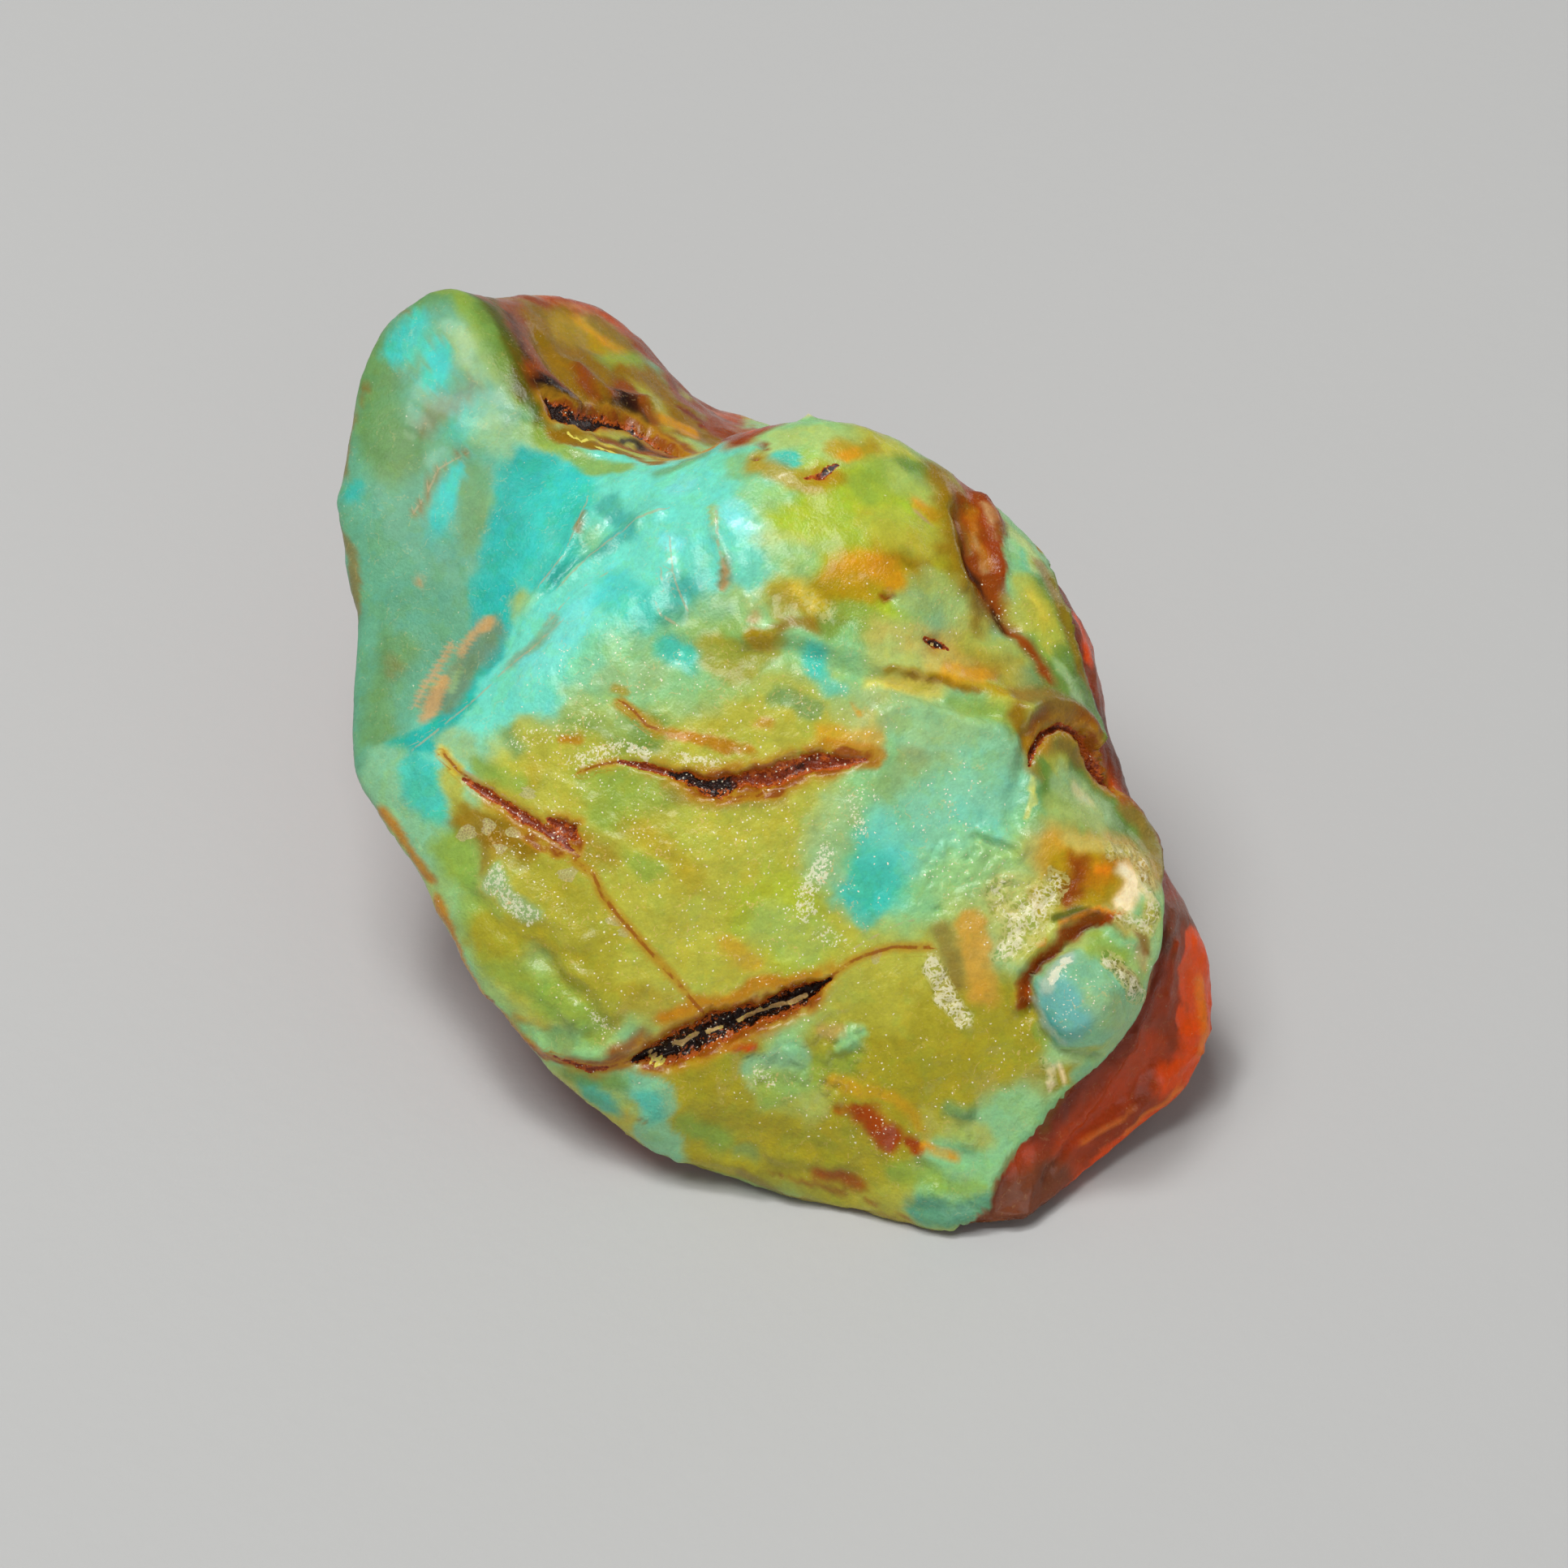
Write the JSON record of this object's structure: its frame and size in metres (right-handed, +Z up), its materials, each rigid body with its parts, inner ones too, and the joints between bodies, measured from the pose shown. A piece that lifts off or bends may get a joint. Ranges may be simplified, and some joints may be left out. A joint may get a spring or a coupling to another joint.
{
  "type": "rough blue amber nodule",
  "caption": "Irregular broken lump of blue amber with a concave lobe, a domed crest, open cracks, a clear red wedge and one small flat resting face.",
  "frame": {"origin": "on the resting plane, under the middle of the nodule's bounding box", "axes": "+Z up, +Y along the nodule's length towards its raised concave lobe; the broad front face looks 38 degrees from -Y towards -X and leans back 45 degrees"},
  "size_m": [0.0271, 0.0393, 0.02],
  "materials": {
    "amber": "waxy translucent fossil resin: turquoise and olive rind over clear red amber"
  },
  "bodies": {
    "root": {"amber_nodule": "amber"}
  },
  "joints": []
}
